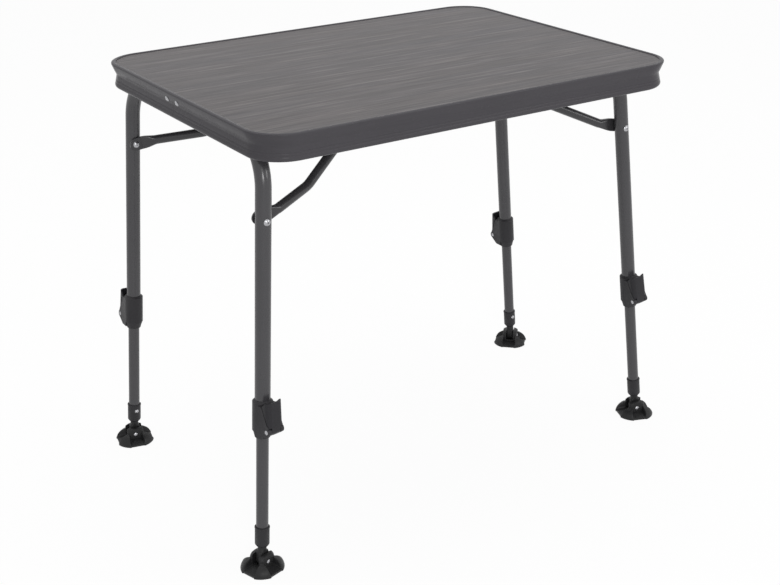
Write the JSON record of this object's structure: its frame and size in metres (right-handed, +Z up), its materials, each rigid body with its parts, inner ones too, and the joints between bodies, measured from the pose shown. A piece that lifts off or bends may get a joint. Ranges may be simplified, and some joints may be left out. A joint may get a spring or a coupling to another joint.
{
  "type": "folding camping table",
  "caption": "Folding camping table with a framed laminate top, bent-tube legs, hooked braces, telescopic lower legs with cam clamps and tilting feet.",
  "frame": {"origin": "on the floor, at the middle of the standing table's bounding box", "axes": "+X along the table's length to the right end, +Y to the back, +Z up"},
  "size_m": [0.9329, 0.6, 0.732],
  "materials": {
    "laminate": "grey wood-grain laminate, satin",
    "rim": "dark grey coating, satin",
    "tube": "dark grey coating, satin",
    "clamp": "dark grey moulding, fine grain",
    "lever": "dark grey moulding, fine grain",
    "bush": "black moulding",
    "foot": "black moulding, satin",
    "rivet": "bright plated",
    "steel": "plated strip and screws"
  },
  "bodies": {
    "table_top": {"table_top_panel": "laminate", "edge_frame": "rim", "splice_plate": "steel", "splice_rivets": "rivet", "saddle_screws": "steel", "catch_screws": "steel", "left_brace_catch": "steel", "right_brace_catch": "steel", "left_front_hook_saddle": "steel", "left_back_hook_saddle": "steel", "right_front_hook_saddle": "steel", "right_back_hook_saddle": "steel"},
    "left_leg_frame": {"left_leg_frame": "tube", "left_brace_rivets": "rivet", "left_front_clamp_collar": "clamp", "left_front_lever_pin": "rivet", "left_back_clamp_collar": "clamp", "left_back_lever_pin": "rivet"},
    "left_brace": {"left_brace": "tube"},
    "left_front_lower_leg": {"left_front_lower_tube": "tube", "left_front_glide_bush": "bush", "left_front_foot_socket": "clamp", "left_front_socket_rivet": "rivet"},
    "left_front_clamp_lever": {"left_front_clamp_lever": "lever"},
    "left_front_swivel_neck": {"left_front_swivel_neck": "foot"},
    "left_front_foot": {"left_front_foot": "foot", "left_front_tilt_pin": "rivet"},
    "left_back_lower_leg": {"left_back_lower_tube": "tube", "left_back_glide_bush": "bush", "left_back_foot_socket": "clamp", "left_back_socket_rivet": "rivet"},
    "left_back_clamp_lever": {"left_back_clamp_lever": "lever"},
    "left_back_swivel_neck": {"left_back_swivel_neck": "foot"},
    "left_back_foot": {"left_back_foot": "foot", "left_back_tilt_pin": "rivet"},
    "right_leg_frame": {"right_leg_frame": "tube", "right_brace_rivets": "rivet", "right_front_clamp_collar": "clamp", "right_front_lever_pin": "rivet", "right_back_clamp_collar": "clamp", "right_back_lever_pin": "rivet"},
    "right_brace": {"right_brace": "tube"},
    "right_front_lower_leg": {"right_front_lower_tube": "tube", "right_front_glide_bush": "bush", "right_front_foot_socket": "clamp", "right_front_socket_rivet": "rivet"},
    "right_front_clamp_lever": {"right_front_clamp_lever": "lever"},
    "right_front_swivel_neck": {"right_front_swivel_neck": "foot"},
    "right_front_foot": {"right_front_foot": "foot", "right_front_tilt_pin": "rivet"},
    "right_back_lower_leg": {"right_back_lower_tube": "tube", "right_back_glide_bush": "bush", "right_back_foot_socket": "clamp", "right_back_socket_rivet": "rivet"},
    "right_back_clamp_lever": {"right_back_clamp_lever": "lever"},
    "right_back_swivel_neck": {"right_back_swivel_neck": "foot"},
    "right_back_foot": {"right_back_foot": "foot", "right_back_tilt_pin": "rivet"}
  },
  "joints": [
    {"name": "left_leg_fold", "type": "hinge", "parent": "table_top", "child": "left_leg_frame", "pos_m": [-0.38033, 0, 0.7085], "axis": [0, -1, 0], "range_deg": [0, 90.55]},
    {"name": "left_brace_swing", "type": "hinge", "parent": "left_leg_frame", "child": "left_brace", "pos_m": [-0.389, 0, 0.589], "axis": [0, -1, 0], "range_deg": [-111.27, 0]},
    {"name": "left_front_leg_slide", "type": "slide", "parent": "left_leg_frame", "child": "left_front_lower_leg", "axis": [0.0723, 0.029, 0.997], "range_m": [0, 0.12]},
    {"name": "left_front_lever_hinge", "type": "hinge", "parent": "left_leg_frame", "child": "left_front_clamp_lever", "pos_m": [-0.40689, -0.27589, 0.25555], "axis": [-0.9672, -0.2418, 0.0772], "range_deg": [-100, 0]},
    {"name": "left_front_foot_swivel", "type": "hinge", "parent": "left_front_lower_leg", "child": "left_front_swivel_neck", "pos_m": [-0.43051, -0.25759, 0.017], "axis": [0.0723, 0.029, 0.997], "continuous": true},
    {"name": "left_front_foot_tilt", "type": "hinge", "parent": "left_front_swivel_neck", "child": "left_front_foot", "pos_m": [-0.43051, -0.25759, 0.017], "axis": [-0.2924, 0.9563, 0], "range_deg": [-15, 15]},
    {"name": "left_back_leg_slide", "type": "slide", "parent": "left_leg_frame", "child": "left_back_lower_leg", "axis": [0.0723, -0.029, 0.997], "range_m": [0, 0.12]},
    {"name": "left_back_lever_hinge", "type": "hinge", "parent": "left_leg_frame", "child": "left_back_clamp_lever", "pos_m": [-0.41316, 0.27666, 0.25603], "axis": [0.9974, 0, -0.0724], "range_deg": [-100, 0]},
    {"name": "left_back_foot_swivel", "type": "hinge", "parent": "left_back_lower_leg", "child": "left_back_swivel_neck", "pos_m": [-0.43051, 0.25759, 0.017], "axis": [0.0723, -0.029, 0.997], "continuous": true},
    {"name": "left_back_foot_tilt", "type": "hinge", "parent": "left_back_swivel_neck", "child": "left_back_foot", "pos_m": [-0.43051, 0.25759, 0.017], "axis": [0.225, 0.9744, 0], "range_deg": [-15, 15]},
    {"name": "right_leg_fold", "type": "hinge", "parent": "table_top", "child": "right_leg_frame", "pos_m": [0.36027, 0, 0.7085], "axis": [0, 1, 0], "range_deg": [0, 90.05]},
    {"name": "right_brace_swing", "type": "hinge", "parent": "right_leg_frame", "child": "right_brace", "pos_m": [0.3724, 0, 0.589], "axis": [0, 1, 0], "range_deg": [-119.34, 0]},
    {"name": "right_front_leg_slide", "type": "slide", "parent": "right_leg_frame", "child": "right_front_lower_leg", "axis": [-0.101, 0.0332, 0.9943], "range_m": [0, 0.12]},
    {"name": "right_front_lever_hinge", "type": "hinge", "parent": "right_leg_frame", "child": "right_front_clamp_lever", "pos_m": [0.40628, -0.21732, 0.2555], "axis": [-0.9949, 0, -0.1011], "range_deg": [-100, 0]},
    {"name": "right_front_foot_swivel", "type": "hinge", "parent": "right_front_lower_leg", "child": "right_front_swivel_neck", "pos_m": [0.43051, -0.19926, 0.017], "axis": [-0.101, 0.0332, 0.9943], "continuous": true},
    {"name": "right_front_foot_tilt", "type": "hinge", "parent": "right_front_swivel_neck", "child": "right_front_foot", "pos_m": [0.43051, -0.19926, 0.017], "axis": [0.3584, 0.9336, 0], "range_deg": [-15, 15]},
    {"name": "right_back_leg_slide", "type": "slide", "parent": "right_leg_frame", "child": "right_back_lower_leg", "axis": [-0.101, -0.0332, 0.9943], "range_m": [0, 0.12]},
    {"name": "right_back_lever_hinge", "type": "hinge", "parent": "right_leg_frame", "child": "right_back_clamp_lever", "pos_m": [0.40628, 0.21732, 0.2555], "axis": [0.9949, 0, 0.1011], "range_deg": [-100, 0]},
    {"name": "right_back_foot_swivel", "type": "hinge", "parent": "right_back_lower_leg", "child": "right_back_swivel_neck", "pos_m": [0.43051, 0.19926, 0.017], "axis": [-0.101, -0.0332, 0.9943], "continuous": true},
    {"name": "right_back_foot_tilt", "type": "hinge", "parent": "right_back_swivel_neck", "child": "right_back_foot", "pos_m": [0.43051, 0.19926, 0.017], "axis": [-0.7071, 0.7071, 0], "range_deg": [-15, 15]}
  ],
  "couplings": [
    {"joint": "left_brace_swing", "follows": "left_leg_fold", "ratio": -1.2283},
    {"joint": "right_brace_swing", "follows": "right_leg_fold", "ratio": -1.3247}
  ]
}
